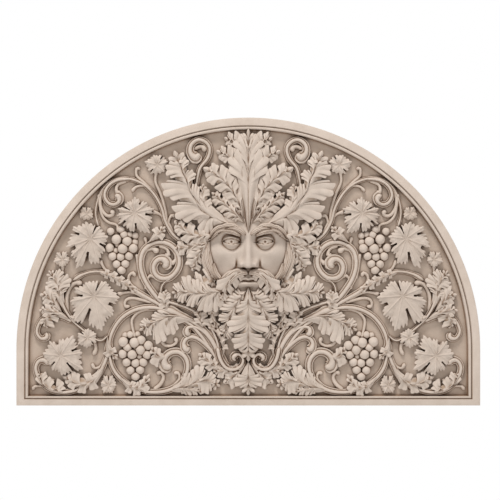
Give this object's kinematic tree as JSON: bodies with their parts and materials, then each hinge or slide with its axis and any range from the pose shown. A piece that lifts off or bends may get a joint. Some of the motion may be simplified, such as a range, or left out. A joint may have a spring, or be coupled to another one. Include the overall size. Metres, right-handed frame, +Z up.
{
  "type": "tympanum panel",
  "caption": "Half-round carved stone panel: a leafy bearded mask between mirrored vine scrolls, vine leaves and grape bunches, inside a moulded border.",
  "frame": {"origin": "centre of the arch's curve, on the flat back face", "axes": "+Z up, -Y out of the carved front, +X along the width, to the right when facing the carving"},
  "size_m": [1.2, 0.1026, 0.745],
  "materials": {
    "stone": "matt"
  },
  "bodies": {
    "root": {"tympanum_panel": "stone"}
  },
  "joints": []
}
